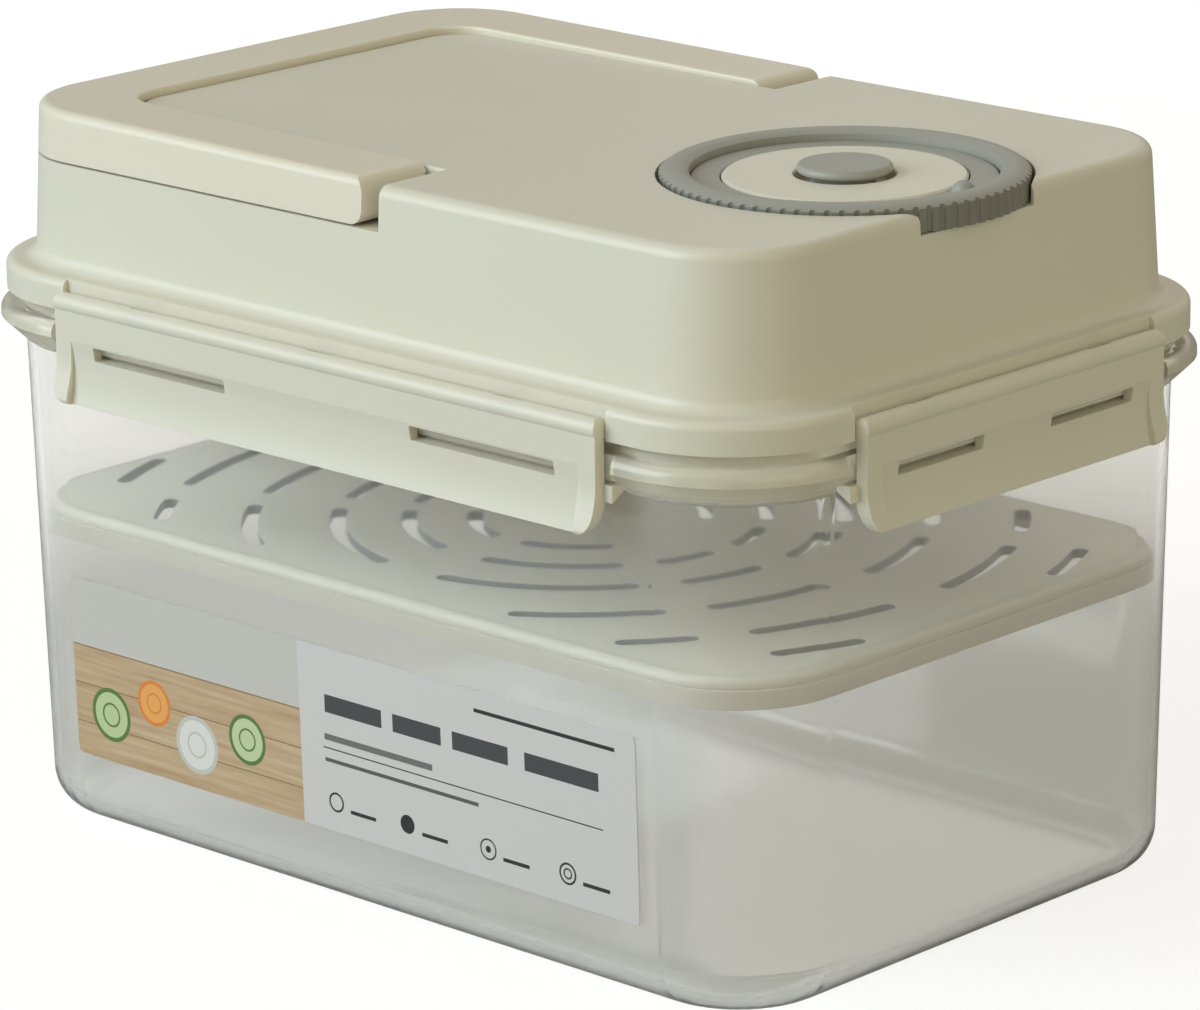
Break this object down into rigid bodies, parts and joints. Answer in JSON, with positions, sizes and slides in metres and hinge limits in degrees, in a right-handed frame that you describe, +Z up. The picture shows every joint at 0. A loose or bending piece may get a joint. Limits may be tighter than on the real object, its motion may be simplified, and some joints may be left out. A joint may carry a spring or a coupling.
{
  "type": "pickle container",
  "caption": "Clear tapered tub with a deep lid, snap latches on each side, a folding carry handle, a date dial with a vent button and a slotted press plate.",
  "frame": {"origin": "middle of the tub's underside", "axes": "+X towards the dial end, -Y the labelled front, +Z up"},
  "size_m": [0.258, 0.177, 0.1706],
  "materials": {
    "clear_plastic": "clear, glossy",
    "frosted_plastic": "milky, half clear",
    "cream_plastic": "satin",
    "grey_plastic": "satin",
    "white_plastic": "satin",
    "silicone": "soft, matte",
    "spring_steel": "bright wire",
    "label_paper": "smooth sticker"
  },
  "bodies": {
    "tub": {"tub": "clear_plastic", "label": "label_paper"},
    "plate": {"press_plate": "frosted_plastic"},
    "lid": {"lid_hood": "cream_plastic", "lid_gasket": "silicone", "index_ring": "grey_plastic", "dial_disc": "cream_plastic"},
    "front_latch": {"latch_front": "cream_plastic"},
    "back_latch": {"latch_back": "cream_plastic"},
    "left_latch": {"latch_left": "cream_plastic"},
    "right_latch": {"latch_right": "cream_plastic"},
    "handle": {"carry_handle": "cream_plastic"},
    "dial": {"date_ring": "grey_plastic"},
    "vent": {"vent_button": "grey_plastic", "vent_stem": "white_plastic", "vent_seal": "silicone", "vent_clip": "white_plastic", "vent_spring": "spring_steel"}
  },
  "joints": [
    {"name": "lid_lift", "type": "slide", "parent": "tub", "child": "lid", "axis": [0, 0, 1], "range_m": [0, 0.15]},
    {"name": "plate_lift", "type": "slide", "parent": "tub", "child": "plate", "axis": [0, 0, 1], "range_m": [0, 0.045]},
    {"name": "front_latch_hinge", "type": "hinge", "parent": "lid", "child": "front_latch", "pos_m": [0, -0.0846, 0.1294], "axis": [-1, 0, 0], "range_deg": [0, 95]},
    {"name": "back_latch_hinge", "type": "hinge", "parent": "lid", "child": "back_latch", "pos_m": [0, 0.0846, 0.1294], "axis": [1, 0, 0], "range_deg": [0, 95]},
    {"name": "left_latch_hinge", "type": "hinge", "parent": "lid", "child": "left_latch", "pos_m": [-0.1251, 0, 0.1294], "axis": [0, 1, 0], "range_deg": [0, 95]},
    {"name": "right_latch_hinge", "type": "hinge", "parent": "lid", "child": "right_latch", "pos_m": [0.1251, 0, 0.1294], "axis": [0, -1, 0], "range_deg": [0, 95]},
    {"name": "handle_fold", "type": "hinge", "parent": "lid", "child": "handle", "pos_m": [0, 0, 0.1652], "axis": [0, 1, 0], "range_deg": [0, 90]},
    {"name": "date_ring_turn", "type": "hinge", "parent": "lid", "child": "dial", "pos_m": [0.0777, 0, 0.167], "axis": [0, 0, 1], "continuous": true},
    {"name": "vent_press", "type": "slide", "parent": "lid", "child": "vent", "axis": [0, 0, -1], "range_m": [0, 0.0025], "stiffness_N_per_m": 1500, "springref_m": -0.001, "deforming": ["vent_spring"]}
  ]
}
